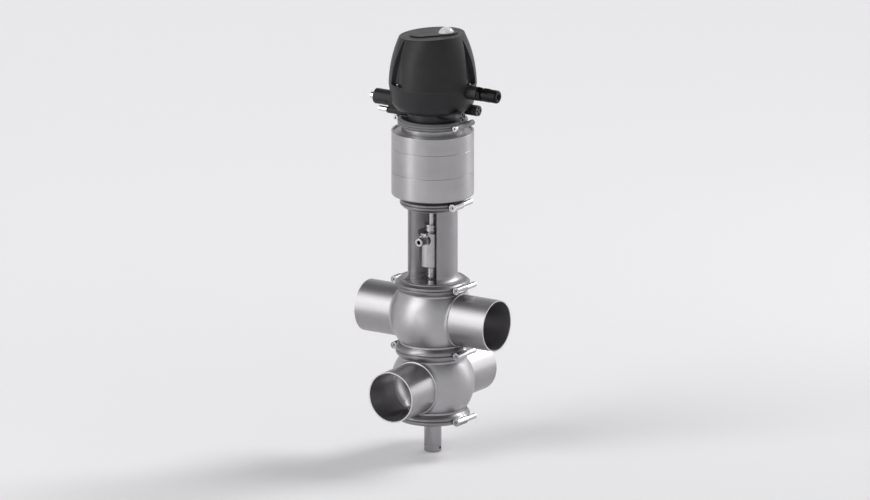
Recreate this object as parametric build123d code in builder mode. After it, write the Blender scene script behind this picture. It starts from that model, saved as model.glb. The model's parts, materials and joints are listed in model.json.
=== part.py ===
"""Mixproof double-seat valve, DN80, with its lift actuator and control head.

All sizes are in millimetres. The origin is on the valve axis at the open lower end of the
drain pipe. +Z points up towards the control head, the upper housing's ports lie along X
and the lower housing's ports lie along Y.
"""
from build123d import *
import math
import os

os.makedirs("parts", exist_ok=True)

# Ports and housings
tube_od = 85.0
tube_wall = 2.0
port_reach = 125.0
port_pitch = 111.0
lower_port_z = 116.5
ball_r = 68.5
ball_wall = 3.0
neck_bore_r = 51.5
neck_wall = 2.9

# Clamped joints: tapered flange rims held in V grooves
rim_step = 3.1
rim_edge = 2.2
housing_flange_h = 7.5
cover_flange_h = 5.0
recess_h = 2.0
recess_wall = 3.0
lantern_neck_r = 47.4
head_neck_r = 51.2
band_wall = 3.2
band_half = 4.2
lip_wall = 1.4
housing_lip = 11.0
lantern_lip = 9.0
cover_lip = 6.5
clamp_clear = 0.15
split_gap = 1.2
band_groove_w = 2.4
band_groove_depth = 1.4
band_shoulder = 0.62
band_shoulder_drop = 1.3
front_boss_r = 6.2
rear_boss_r = 4.6
head_boss_r = 4.7
boss_length = 27.3
hinge_length = 20.0
lantern_hinge_length = 8.0
boss_overhang = 2.5
screw_r = 3.0
screw_head_r = 4.4
screw_head_h = 5.0
screw_sink = 1.0
screw_key_r = 2.3
screw_key_depth = 2.5
screw_tip = 4.0
screw_clear = 0.15

# Seat ring, discs and their lift
seat_bore_r = 38.0
seat_top_r = 42.5
seat_top_h = 11.0
seat_foot_h = 14.0
seat_chamfer = 1.5
fit_clear = 0.1
seat_clear = 0.2
running_clear = 0.05
disc_gap = 10.0
disc_edge_h = 4.0
disc_reach = 2.5
disc_cone_h = 12.0
lower_disc_h = 10.0
upper_lift = 30.0
ring_seal_w = 2.4
middle_seal_r = 30.0
middle_seal_proud = 0.8

# Stems, rod and drain pipe
stem_r = 10.7
stem_bore_r = 8.5
rod_r = 6.2
thick_rod_r = 7.75
thin_rod_r = 6.5
drain_r = 14.25
drain_bore_r = 11.0
drain_spigot_r = 12.6
drain_spigot_h = 10.0
drain_groove_z = 11.5
drain_groove_w = 1.0
drain_groove_depth = 0.6
drain_pin_r = 2.4
drain_pin_z = 6.5
drain_hole_r = 1.9
drain_hole_at_r = 8.8
rod_floor_h = 2.0
stem_collar_w = 1.6
drain_hole_count = 6
hub_r = 19.0
hub_h = 14.0

# Discs that close the housings
disc_plate_h = 11.0
disc_lip_w = 4.5
bearing_disc_top = 8.0
bearing_disc_land = 8.2
bush_wall = 3.2
bush_flange_r = 16.2
bush_flange_h = 2.5
wiper_w = 1.6
wiper_proud = 0.8
seal_groove_w = 1.8
seal_groove_h = 1.2
seal_inset = 0.5

# Lantern and the flushing sleeve that runs in it
lantern_r = 40.7
lantern_wall = 3.0
lantern_joint_z = 422.0
window_half_angle = 42.6
foot_sweep = 12.0
window_head = 12.0
sleeve_r = 22.4
sleeve_wall = 3.2
sleeve_foot_z = 312.0
sleeve_top_z = 370.0
sleeve_floor_h = 6.0
sleeve_cap_h = 4.0
sleeve_cap_r = 24.4
spanner_slot_w = 4.0
spanner_slot_depth = 2.6
spanner_slot_angle = -78.0
connector_z = 359.0
connector_r = 7.25
connector_bore_r = 3.35
connector_reach = 42.0
connector_boss_r = 9.6
connector_boss_reach = 27.0
connector_thread_r = 6.0
nut_r = 13.9
nut_groove_w = 1.6
nut_groove_depth = 1.0
nut_h = 11.5
nut_gap = 1.5
nut_skirt_r = 11.0
nut_flange_r = 17.6
nut_flange_h = 4.0
nut_flange_z = 352.0
sleeve_spring_wire = 3.2
sleeve_spring_turns = 6.0

# Actuator
actuator_r = 67.5
actuator_wall = 4.0
actuator_bottom_z = 433.0
actuator_floor_h = 8.0
lower_seam_z = 473.0
upper_seam_z = 513.0
actuator_top_z = 541.0
top_recess = 2.5
top_rim_w = 3.0
top_plate_h = 5.5
seam_chamfer = 0.4
bottom_round = 3.0
bush_seat_z = 426.0
nut_room_r = 15.0
piston_z = 445.0
piston_h = 18.0
piston_clear = 0.1
piston_rim_w = 6.0
piston_dish_h = 8.0
piston_hub_r = 16.0
piston_seal_margin = 3.0
piston_nut_r = 13.0
piston_nut_h = 8.0
rod_top_z = 541.0
main_spring_r = 48.0
main_spring_wire = 5.0
main_spring_turns = 5.0
spring_seat_gap = 0.1

# Control head
head_joint_z = 556.0
adapter_neck_r = 42.0
adapter_bore_r = 30.0
base_bottom_z = 576.5
head_r = 72.0
head_seam_z = 620.0
base_floor_in = 26.0
base_turn_in = 10.0
base_turn_h = 4.5
base_side_in = 4.0
base_side_h = 15.5
base_wall = 3.0
base_hole_r = 9.0
gasket_h = 1.0
gasket_w = 3.0
hood_h = 81.2
crown_tilt = 5.0
crown_margin = 8.5
hood_mid_share = 0.52
hood_mid_in = 5.4
hood_top_in = 22.8
hood_wall = 3.0
hood_corner = 1.8
flute_w = 33.2
flute_mid_w = 18.0
flute_mid_share = 0.55
flute_tip_share = 0.97
flute_low_in = 9.6
flute_right_in = 26.0
flute_left_in = 19.5
flute_angle = 5.8
flute_ledge_h = 3.0
hood_screw_r = 1.6
hood_screw_head_r = 2.6
hood_screw_head_h = 2.2
hood_screw_in = 6.3
hood_screw_angles = (8.0, 123.3, 243.3)
hood_screw_length = 12.0
screw_post_r = 4.0
plateau_rise = 1.8
plateau_angle = 25.0
plateau_big_r = 25.0
plateau_small_r = 19.0
plateau_big_out = -13.0
plateau_depth = 8.0
dome_out = 22.5
dome_r = 12.8
dome_h = 9.0
dome_spigot_r = 8.0
dome_wall = 1.8
gland_z = 614.0
gland_boss_r = 11.5
gland_boss_out = 18.0
gland_thread_r = 7.5
gland_hex_r = 11.8
gland_hex_h = 7.0
gland_neck_r = 8.2
gland_gap = 4.0
gland_nut_hex_h = 11.0
gland_nut_r = 10.8
gland_nut_length = 27.0
gland_nut_round = 3.0
gland_nut_lip = 2.0
gland_seal_length = 11.0
gland_bore_r = 5.0
gland_seal_bore_r = 3.6
vent_y = -21.5
vent_boss_r = 12.8
vent_boss_z = 589.0
vent_boss_out = 23.0
low_boss_r = 6.0
low_boss_z = 569.3
low_boss_out = 0.7
low_web_w = 7.0
nipple_thread_r = 3.8
nipple_bore_r = 2.5
nipple_root = 8.0
vent_nipple_r = 5.7
vent_nipple_length = 10.0
low_nipple_r = 4.4
low_nipple_length = 17.0
coupling_ys = (-24.0, 24.0)
coupling_z = 577.5
coupling_boss_r = 8.9
coupling_boss_in = 7.0
coupling_thread_r = 6.0
coupling_thread_length = 8.0
coupling_length = 9.0
coupling_bore_r = 2.1
coupling_bore_at_r = 4.6
coupling_bore_depth = 5.0
switch_bar_r = 4.0
switch_bar_gap = 9.0
sensor_w = 24.0
sensor_drop = 19.5
sensor_bore_r = 7.5
board_r = 44.0
board_h = 1.6
pilot_w = 14.0
pilot_depth = 18.0
pilot_h = 46.0
pilot_y = 28.0
pilot_step = 16.0
chip_h = 3.0

# Places worked out from the sizes above
tube_r = tube_od / 2
tube_bore_r = tube_r - tube_wall
half_pitch = port_pitch / 2
upper_port_z = lower_port_z + port_pitch
bottom_joint_z = lower_port_z - half_pitch
middle_joint_z = lower_port_z + half_pitch
top_joint_z = upper_port_z + half_pitch
ball_bore_r = ball_r - ball_wall
neck_r = neck_bore_r + neck_wall
recess_r = neck_bore_r + recess_wall
ball_neck_h = math.sqrt(ball_r**2 - neck_r**2)
bore_neck_h = math.sqrt(ball_bore_r**2 - neck_bore_r**2)
spigot_r = neck_bore_r - fit_clear
spigot_h = half_pitch - bore_neck_h
lower_lift = disc_gap - middle_seal_proud - seat_clear
upper_disc_foot_z = middle_joint_z + seat_top_h - (seat_top_r - seat_bore_r) - disc_reach
upper_disc_top_z = middle_joint_z + seat_top_h + disc_edge_h
lower_disc_top_z = upper_disc_foot_z - disc_gap
lower_disc_foot_z = lower_disc_top_z - lower_disc_h
hub_foot_z = lower_disc_foot_z - hub_h
disc_r = seat_bore_r - seat_clear
foot_top_z = top_joint_z + bearing_disc_top
bearing_land_r = neck_bore_r - disc_lip_w
lantern_bore_r = lantern_r - lantern_wall
window_top_z = lantern_joint_z - window_head
cylinder_r = actuator_r - actuator_wall
floor_z = actuator_bottom_z + actuator_floor_h
plate_top_z = actuator_top_z - top_recess
plate_foot_z = plate_top_z - top_plate_h
piston_top_z = piston_z + piston_h
nut_foot_z = sleeve_top_z + nut_gap
nut_top_z = nut_foot_z + nut_h
rod_socket_z = nut_foot_z + nut_h / 2
gasket_top_z = head_seam_z + gasket_h
hood_crown_z = gasket_top_z + hood_h
hood_top_z = hood_crown_z + crown_margin
ledge_z = gasket_top_z + flute_ledge_h
sensor_top_z = hood_crown_z - sensor_drop
switch_bar_top_z = sensor_top_z - upper_lift - lower_lift - switch_bar_gap
base_floor_z = base_bottom_z + base_wall
base_floor_r = head_r - base_floor_in
base_turn_r = head_r - base_turn_in
base_turn_z = base_bottom_z + base_turn_h
base_side_r = head_r - base_side_in
base_side_z = base_bottom_z + base_side_h
hood_screw_at_r = head_r - hood_screw_in
gland_boss_reach = head_r + gland_boss_out
gland_nut_start = gland_boss_reach + gland_hex_h + gland_gap
gland_nut_reach = gland_nut_start + gland_nut_length
gland_neck_reach = gland_nut_reach - gland_nut_lip - gland_seal_length
vent_boss_reach = head_r + vent_boss_out
low_boss_reach = head_r + low_boss_out
coupling_boss_reach = head_r - coupling_boss_in
coupling_reach = coupling_boss_reach + coupling_length
FRONT = -1
REAR = 1


def save(piece, name):
    """Label a finished piece and write its STEP file."""
    piece.part.label = name
    export_step(piece.part, f"parts/{name}.step")


def turn(points, mode=Mode.ADD):
    """Turn a closed outline of (radius, height) points about the valve axis."""
    with BuildSketch(Plane.XZ) as outline:
        with BuildLine():
            Polyline(*points, close=True)
        make_face()
    revolve(outline.sketch, axis=Axis.Z, mode=mode)


def turn_ring(inner_r, outer_r, low_z, high_z, mode=Mode.ADD):
    """Turn a plain ring of rectangular section."""
    turn([(inner_r, low_z), (outer_r, low_z), (outer_r, high_z), (inner_r, high_z)], mode)


def across(angle, height):
    """The plane through the valve axis at a height, facing outwards at an angle about Z."""
    outward = Vector(1, 0, 0).rotate(Axis.Z, angle)
    return Plane(origin=(0, 0, height), x_dir=Vector(0, 0, 1), z_dir=outward)


def bar(angle, height, radius, start, end, mode=Mode.ADD):
    """A round bar that points outwards from the valve axis, between two distances from it."""
    with BuildSketch(across(angle, height).offset(start)) as section:
        Circle(radius)
    extrude(section.sketch, amount=end - start, mode=mode)


def bar_x(y, height, radius, start, end, mode=Mode.ADD):
    """A round bar along X beside the valve axis, between two places on X."""
    with BuildSketch(Plane(origin=(start, y, height), z_dir=(1, 0, 0))) as section:
        Circle(radius)
    extrude(section.sketch, amount=end - start, mode=mode)


def coil(radius, wire, turns, low_z, high_z):
    """A coil spring between two seats, drawn as one helical wire."""
    height = high_z - low_z - wire - 2 * spring_seat_gap
    start_z = low_z + wire / 2 + spring_seat_gap
    with BuildLine():
        path = Helix(pitch=height / turns, height=height, radius=radius, center=(0, 0, start_z))
    with BuildSketch(Plane(origin=path @ 0, z_dir=path % 0)) as section:
        Circle(wire / 2)
    sweep(section.sketch, path=path, is_frenet=True)


# Housings: a ball with two tube ports and two clamp flanges

def housing(port_z, port_plane):
    """A ball housing: port_plane faces along its two ports."""
    with BuildSketch(Plane.XZ) as shell:
        with BuildLine():
            Polyline(
                (neck_r, port_z - ball_neck_h),
                (neck_r, port_z - half_pitch + housing_flange_h),
                (neck_r + rim_step, port_z - half_pitch + rim_edge),
                (neck_r + rim_step, port_z - half_pitch),
                (0, port_z - half_pitch),
                (0, port_z + half_pitch),
                (neck_r + rim_step, port_z + half_pitch),
                (neck_r + rim_step, port_z + half_pitch - rim_edge),
                (neck_r, port_z + half_pitch - housing_flange_h),
                (neck_r, port_z + ball_neck_h),
            )
            ThreePointArc(
                (neck_r, port_z + ball_neck_h),
                (ball_r, port_z),
                (neck_r, port_z - ball_neck_h),
            )
        make_face()
    revolve(shell.sketch, axis=Axis.Z)
    with BuildSketch(port_plane) as tube:
        Circle(tube_r)
    extrude(tube.sketch, amount=port_reach, both=True)
    with BuildSketch(Plane.XZ) as cavity:
        with BuildLine():
            Polyline(
                (neck_bore_r, port_z - bore_neck_h),
                (neck_bore_r, port_z - half_pitch + recess_h),
                (recess_r, port_z - half_pitch + recess_h),
                (recess_r, port_z - half_pitch),
                (0, port_z - half_pitch),
                (0, port_z + half_pitch),
                (recess_r, port_z + half_pitch),
                (recess_r, port_z + half_pitch - recess_h),
                (neck_bore_r, port_z + half_pitch - recess_h),
                (neck_bore_r, port_z + bore_neck_h),
            )
            ThreePointArc(
                (neck_bore_r, port_z + bore_neck_h),
                (ball_bore_r, port_z),
                (neck_bore_r, port_z - bore_neck_h),
            )
        make_face()
    revolve(cavity.sketch, axis=Axis.Z, mode=Mode.SUBTRACT)
    with BuildSketch(port_plane) as bore:
        Circle(tube_bore_r)
    extrude(bore.sketch, amount=port_reach, both=True, mode=Mode.SUBTRACT)


with BuildPart() as upper_housing:
    housing(upper_port_z, Plane(origin=(0, 0, upper_port_z), z_dir=(1, 0, 0)))
save(upper_housing, "upper_housing")

with BuildPart() as lower_housing:
    housing(lower_port_z, Plane(origin=(0, 0, lower_port_z), z_dir=(0, 1, 0)))
save(lower_housing, "lower_housing")

# Seat ring, held between the two housings

seal_in_r = neck_bore_r + seal_inset
seal_out_r = seal_in_r + seal_groove_w

with BuildPart() as seat_ring:
    turn([
        (seat_bore_r, middle_joint_z - seat_foot_h + seat_chamfer),
        (seat_bore_r + seat_chamfer, middle_joint_z - seat_foot_h),
        (spigot_r, middle_joint_z - seat_foot_h),
        (spigot_r, middle_joint_z - recess_h),
        (recess_r - fit_clear, middle_joint_z - recess_h),
        (recess_r - fit_clear, middle_joint_z + recess_h),
        (spigot_r, middle_joint_z + recess_h),
        (spigot_r, middle_joint_z + seat_top_h),
        (seat_top_r, middle_joint_z + seat_top_h),
        (seat_bore_r, middle_joint_z + seat_top_h - (seat_top_r - seat_bore_r)),
    ])
    for face_z in (middle_joint_z - recess_h, middle_joint_z + recess_h - seal_groove_h):
        turn_ring(seal_in_r, seal_out_r, face_z, face_z + seal_groove_h, Mode.SUBTRACT)
save(seat_ring, "seat_ring")

# Static seals of the four clamped housing faces

with BuildPart() as housing_seals:
    for seal_z in (
        bottom_joint_z + recess_h - seal_groove_h,
        middle_joint_z - recess_h,
        middle_joint_z + recess_h - seal_groove_h,
        top_joint_z - recess_h,
    ):
        turn_ring(seal_in_r, seal_out_r, seal_z, seal_z + seal_groove_h)
save(housing_seals, "housing_seals")

# Upper disc with its cone seal and middle seal, and the hollow stem that it carries

cone_r = seat_top_r - seat_clear
cone_low_z = middle_joint_z + seat_top_h - (cone_r - disc_r)
seal_mid_r = (disc_r + cone_r) / 2
seal_mid_z = cone_low_z + seal_mid_r - disc_r
half_seal = ring_seal_w / 2 / math.sqrt(2)
seal_lift = seat_clear / 2 - running_clear / math.sqrt(2)
stem_top_z = sleeve_foot_z + sleeve_floor_h

with BuildPart() as upper_disc:
    turn([
        (stem_bore_r, upper_disc_foot_z),
        (disc_r, upper_disc_foot_z),
        (disc_r, cone_low_z),
        (cone_r, middle_joint_z + seat_top_h),
        (cone_r, upper_disc_top_z),
        (hub_r, upper_disc_top_z + disc_edge_h),
        (stem_r + stem_collar_w, upper_disc_top_z + disc_cone_h),
        (stem_r + running_clear, upper_disc_top_z + disc_cone_h),
        (stem_r + running_clear, upper_disc_top_z),
        (stem_bore_r, upper_disc_top_z),
    ])
    turn([
        (seal_mid_r - half_seal, seal_mid_z - half_seal),
        (seal_mid_r + half_seal, seal_mid_z + half_seal),
        (seal_mid_r - half_seal, seal_mid_z + 3 * half_seal),
        (seal_mid_r - 3 * half_seal, seal_mid_z + half_seal),
    ], Mode.SUBTRACT)
    turn_ring(
        middle_seal_r - ring_seal_w / 2,
        middle_seal_r + ring_seal_w / 2,
        upper_disc_foot_z,
        upper_disc_foot_z + ring_seal_w,
        Mode.SUBTRACT,
    )
save(upper_disc, "upper_disc")

with BuildPart() as upper_stem:
    turn_ring(stem_bore_r, stem_r, upper_disc_top_z, stem_top_z)
save(upper_stem, "upper_stem")

with BuildPart() as upper_disc_seal:
    turn([
        (seal_mid_r - half_seal + seal_lift, seal_mid_z - half_seal - seal_lift),
        (seal_mid_r + half_seal + seal_lift, seal_mid_z + half_seal - seal_lift),
        (seal_mid_r - half_seal, seal_mid_z + 3 * half_seal),
        (seal_mid_r - 3 * half_seal, seal_mid_z + half_seal),
    ])
save(upper_disc_seal, "upper_disc_seal")

with BuildPart() as middle_seal:
    turn_ring(
        middle_seal_r - ring_seal_w / 2,
        middle_seal_r + ring_seal_w / 2,
        upper_disc_foot_z - middle_seal_proud,
        upper_disc_foot_z + ring_seal_w,
    )
save(middle_seal, "middle_seal")

# Lower disc with its inner rod, its radial seal and the drain pipe below it

lower_edge_r = seat_bore_r - seat_clear
rod_foot_z = lower_disc_foot_z + rod_floor_h
lower_seal_z = (lower_disc_top_z + middle_joint_z - seat_foot_h + seat_chamfer) / 2

with BuildPart() as lower_disc:
    turn([
        (0, lower_disc_top_z - seat_chamfer),
        (drain_hole_at_r + drain_hole_r + seat_chamfer, lower_disc_top_z - seat_chamfer),
        (lower_edge_r, lower_disc_top_z),
        (lower_edge_r, lower_disc_foot_z + disc_edge_h),
        (hub_r, lower_disc_foot_z),
        (hub_r, hub_foot_z + seat_chamfer),
        (hub_r - seat_chamfer, hub_foot_z),
        (0, hub_foot_z),
    ])
    turn_ring(0, rod_r + running_clear, rod_foot_z, lower_disc_top_z, Mode.SUBTRACT)
    turn_ring(0, drain_bore_r, hub_foot_z, lower_disc_foot_z, Mode.SUBTRACT)
    turn_ring(0, drain_spigot_r + running_clear, hub_foot_z, hub_foot_z + drain_spigot_h, Mode.SUBTRACT)
    with BuildSketch(Plane.XY.offset(lower_disc_foot_z)):
        with PolarLocations(drain_hole_at_r, drain_hole_count):
            Circle(drain_hole_r)
    extrude(amount=lower_disc_h, mode=Mode.SUBTRACT)
    turn_ring(
        lower_edge_r - ring_seal_w,
        lower_edge_r + fit_clear,
        lower_seal_z - ring_seal_w / 2,
        lower_seal_z + ring_seal_w / 2,
        Mode.SUBTRACT,
    )
save(lower_disc, "lower_disc")

with BuildPart() as inner_rod:
    turn_ring(0, rod_r, rod_foot_z, rod_socket_z)
save(inner_rod, "inner_rod")

with BuildPart() as lower_disc_seal:
    turn_ring(
        lower_edge_r - ring_seal_w,
        seat_bore_r - running_clear,
        lower_seal_z - ring_seal_w / 2,
        lower_seal_z + ring_seal_w / 2,
    )
save(lower_disc_seal, "lower_disc_seal")

with BuildPart() as drain_pipe:
    turn([
        (drain_bore_r, 0),
        (drain_r - seat_chamfer / 2, 0),
        (drain_r, seat_chamfer / 2),
        (drain_r, drain_groove_z - drain_groove_w / 2),
        (drain_r - drain_groove_depth, drain_groove_z - drain_groove_w / 2),
        (drain_r - drain_groove_depth, drain_groove_z + drain_groove_w / 2),
        (drain_r, drain_groove_z + drain_groove_w / 2),
        (drain_r, hub_foot_z),
        (drain_spigot_r, hub_foot_z),
        (drain_spigot_r, hub_foot_z + drain_spigot_h),
        (drain_bore_r, hub_foot_z + drain_spigot_h),
    ])
    bar(0, drain_pin_z, drain_pin_r, -2 * drain_r, 2 * drain_r, Mode.SUBTRACT)
save(drain_pipe, "drain_pipe")

# Bottom disc with the drain pipe's bearing and seal

bottom_disc_foot_z = bottom_joint_z - cover_lip
bottom_disc_top_z = bottom_joint_z + spigot_h
bottom_land_z = bottom_disc_foot_z + disc_plate_h + recess_h
drain_bush_r = drain_r + bush_wall

with BuildPart() as bottom_disc:
    turn([
        (drain_bush_r, bottom_disc_foot_z),
        (neck_r, bottom_disc_foot_z),
        (neck_r, bottom_joint_z - cover_flange_h),
        (neck_r + rim_step, bottom_joint_z - rim_edge),
        (neck_r + rim_step, bottom_joint_z),
        (recess_r - fit_clear, bottom_joint_z),
        (recess_r - fit_clear, bottom_joint_z + recess_h),
        (spigot_r, bottom_joint_z + recess_h),
        (spigot_r, bottom_disc_top_z),
        (bearing_land_r, bottom_land_z),
        (drain_bush_r, bottom_land_z),
    ])
    turn_ring(
        seal_in_r,
        seal_out_r,
        bottom_joint_z + recess_h - seal_groove_h,
        bottom_joint_z + recess_h,
        Mode.SUBTRACT,
    )
save(bottom_disc, "bottom_disc")

with BuildPart() as drain_bearing:
    turn_ring(
        drain_r + running_clear,
        drain_bush_r,
        bottom_disc_foot_z,
        bottom_land_z - bush_flange_h,
    )
save(drain_bearing, "drain_bearing")

with BuildPart() as drain_seal:
    turn([
        (drain_r + running_clear, bottom_land_z - bush_flange_h),
        (drain_bush_r, bottom_land_z - bush_flange_h),
        (drain_bush_r, bottom_land_z),
        (drain_r + bush_wall / 2, bottom_land_z),
        (drain_r + running_clear, bottom_land_z + bush_wall / 4),
    ])
save(drain_seal, "drain_seal")

# Bearing disc between the upper housing and the lantern

bearing_foot_z = top_joint_z - spigot_h
bearing_land_z = foot_top_z - disc_plate_h
stem_bush_r = stem_r + bush_wall
wiper_r = bush_flange_r + wiper_w

with BuildPart() as bearing_disc:
    turn([
        (stem_bush_r, bearing_land_z),
        (bearing_land_r - disc_lip_w, bearing_land_z),
        (bearing_land_r, bearing_foot_z),
        (spigot_r, bearing_foot_z),
        (spigot_r, top_joint_z - recess_h),
        (recess_r - fit_clear, top_joint_z - recess_h),
        (recess_r - fit_clear, top_joint_z),
        (neck_r - bearing_disc_land, top_joint_z),
        (neck_r - bearing_disc_land, foot_top_z),
        (wiper_r, foot_top_z),
        (wiper_r, foot_top_z - bush_flange_h),
        (stem_bush_r, foot_top_z - bush_flange_h),
    ])
    turn_ring(
        seal_in_r,
        seal_out_r,
        top_joint_z - recess_h,
        top_joint_z - recess_h + seal_groove_h,
        Mode.SUBTRACT,
    )
save(bearing_disc, "bearing_disc")

with BuildPart() as stem_bearing:
    turn([
        (stem_r + running_clear, bearing_land_z),
        (stem_bush_r, bearing_land_z),
        (stem_bush_r, foot_top_z - bush_flange_h),
        (bush_flange_r, foot_top_z - bush_flange_h),
        (bush_flange_r, foot_top_z),
        (stem_r + running_clear, foot_top_z),
    ])
save(stem_bearing, "stem_bearing")

with BuildPart() as stem_seal:
    turn_ring(bush_flange_r, wiper_r, foot_top_z - bush_flange_h, foot_top_z + wiper_proud)
save(stem_seal, "stem_seal")

# Lantern: an open tube with a window at the front and at the rear

with BuildPart() as lantern:
    with BuildSketch(Plane.XZ):
        with BuildLine():
            Polyline(
                (lantern_r, foot_top_z + foot_sweep),
                (lantern_r, lantern_joint_z - housing_lip),
                (lantern_neck_r, lantern_joint_z - housing_flange_h),
                (lantern_neck_r + rim_step, lantern_joint_z - rim_edge),
                (lantern_neck_r + rim_step, lantern_joint_z),
                (lantern_bore_r, lantern_joint_z),
                (lantern_bore_r, foot_top_z),
                (neck_r - bearing_disc_land + fit_clear, foot_top_z),
                (neck_r - bearing_disc_land + fit_clear, top_joint_z),
                (neck_r + rim_step, top_joint_z),
                (neck_r + rim_step, top_joint_z + rim_edge),
                (neck_r, top_joint_z + cover_flange_h),
                (neck_r, foot_top_z),
            )
            ThreePointArc(
                (neck_r, foot_top_z),
                (lantern_r + (neck_r - lantern_r) / 4, foot_top_z + foot_sweep / 4),
                (lantern_r, foot_top_z + foot_sweep),
            )
        make_face()
    revolve(axis=Axis.Z)
    window_reach = 2 * neck_r
    window_side = window_reach * math.tan(math.radians(window_half_angle))
    with BuildSketch(Plane.XY.offset(foot_top_z)):
        with BuildLine():
            Polyline((0, 0), (-window_side, -window_reach), (window_side, -window_reach), close=True)
        make_face()
        with BuildLine():
            Polyline((0, 0), (window_side, window_reach), (-window_side, window_reach), close=True)
        make_face()
    extrude(amount=window_top_z - foot_top_z, mode=Mode.SUBTRACT)
save(lantern, "lantern")

# Flushing sleeve, its cap, connector and spring

sleeve_bore_r = sleeve_r - sleeve_wall
cap_foot_z = sleeve_top_z - sleeve_cap_h

with BuildPart() as flush_sleeve:
    turn([
        (stem_r + fit_clear, sleeve_foot_z),
        (sleeve_r - seat_chamfer, sleeve_foot_z),
        (sleeve_r, sleeve_foot_z + seat_chamfer),
        (sleeve_r, cap_foot_z),
        (sleeve_bore_r, cap_foot_z),
        (sleeve_bore_r, sleeve_foot_z + sleeve_floor_h),
        (stem_r + fit_clear, sleeve_foot_z + sleeve_floor_h),
    ])
    bar(-90, connector_z, connector_boss_r, sleeve_bore_r, connector_boss_reach)
    turn_ring(0, sleeve_bore_r, cap_foot_z - 2 * connector_boss_r, cap_foot_z, Mode.SUBTRACT)
    turn_ring(0, 2 * sleeve_r, cap_foot_z, sleeve_top_z, Mode.SUBTRACT)
    bar(-90, connector_z, connector_thread_r, 0, connector_boss_reach, Mode.SUBTRACT)
save(flush_sleeve, "flush_sleeve")

with BuildPart() as sleeve_cap:
    turn_ring(nut_skirt_r + fit_clear, sleeve_cap_r, cap_foot_z, sleeve_top_z)
    with BuildSketch(across(spanner_slot_angle, sleeve_top_z).offset(sleeve_r - spanner_slot_depth)):
        Rectangle(2 * spanner_slot_depth, spanner_slot_w)
    extrude(amount=2 * spanner_slot_depth, mode=Mode.SUBTRACT)
save(sleeve_cap, "sleeve_cap")

with BuildPart() as flush_connector:
    bar(-90, connector_z, connector_r, connector_boss_reach, connector_reach)
    thread_start = sleeve_r - sleeve_wall / 2
    bar(-90, connector_z, connector_thread_r - running_clear, thread_start, connector_boss_reach)
    end_edge = flush_connector.edges().group_by(Axis.Y)[0].sort_by(SortBy.RADIUS)[-1]
    chamfer(end_edge, seat_chamfer / 2)
    bar(-90, connector_z, connector_bore_r, 0, connector_reach, Mode.SUBTRACT)
save(flush_connector, "flush_connector")

sleeve_spring_r = (rod_r + sleeve_bore_r) / 2
with BuildPart() as sleeve_spring:
    coil(
        sleeve_spring_r,
        sleeve_spring_wire,
        sleeve_spring_turns,
        sleeve_foot_z + sleeve_floor_h,
        nut_flange_z,
    )
save(sleeve_spring, "sleeve_spring")

# Lock nut that joins the disc's rod to the piston rod

nut_groove_z = (nut_foot_z + nut_top_z) / 2

with BuildPart() as lock_nut:
    turn([
        (rod_r + running_clear, nut_flange_z),
        (nut_flange_r, nut_flange_z),
        (nut_flange_r, nut_flange_z + nut_flange_h),
        (nut_skirt_r, nut_flange_z + nut_flange_h),
        (nut_skirt_r, nut_foot_z),
        (nut_r, nut_foot_z),
        (nut_r, nut_groove_z - nut_groove_w / 2),
        (nut_r - nut_groove_depth, nut_groove_z - nut_groove_w / 2),
        (nut_r - nut_groove_depth, nut_groove_z + nut_groove_w / 2),
        (nut_r, nut_groove_z + nut_groove_w / 2),
        (nut_r, nut_top_z - seat_chamfer / 2),
        (nut_r - seat_chamfer / 2, nut_top_z),
        (thick_rod_r + running_clear, nut_top_z),
        (thick_rod_r + running_clear, rod_socket_z),
        (rod_r + running_clear, rod_socket_z),
    ])
save(lock_nut, "lock_nut")

# Clamp rings: two half rings, each with two tubular bosses for the clamp screws

clamps = (
    (
        "bottom_clamp",
        neck_r,
        bottom_joint_z,
        housing_flange_h,
        housing_lip,
        cover_flange_h,
        cover_lip,
        front_boss_r,
        hinge_length,
    ),
    (
        "middle_clamp",
        neck_r,
        middle_joint_z,
        housing_flange_h,
        housing_lip,
        housing_flange_h,
        housing_lip,
        front_boss_r,
        hinge_length,
    ),
    (
        "top_clamp",
        neck_r,
        top_joint_z,
        cover_flange_h,
        cover_lip,
        housing_flange_h,
        housing_lip,
        front_boss_r,
        hinge_length,
    ),
    (
        "lantern_clamp",
        lantern_neck_r,
        lantern_joint_z,
        cover_flange_h,
        cover_lip,
        housing_flange_h,
        lantern_lip,
        front_boss_r,
        lantern_hinge_length,
    ),
    (
        "head_clamp",
        head_neck_r,
        head_joint_z,
        cover_flange_h,
        cover_lip,
        cover_flange_h,
        cover_lip,
        head_boss_r,
        hinge_length,
    ),
)


def screw_places(neck, hinge):
    """Distance along X and reach along Y of a clamp's two screws."""
    out = neck + rim_step + band_wall + boss_overhang
    return (-out, hinge), (out, boss_length)


def side_bar(x, height, radius, start, end, mode=Mode.ADD):
    """A round bar along Y beside the valve, between two places on Y."""
    with BuildSketch(Plane(origin=(x, start, height), z_dir=(0, 1, 0))) as section:
        Circle(radius)
    extrude(section.sketch, amount=end - start, mode=mode)


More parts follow.
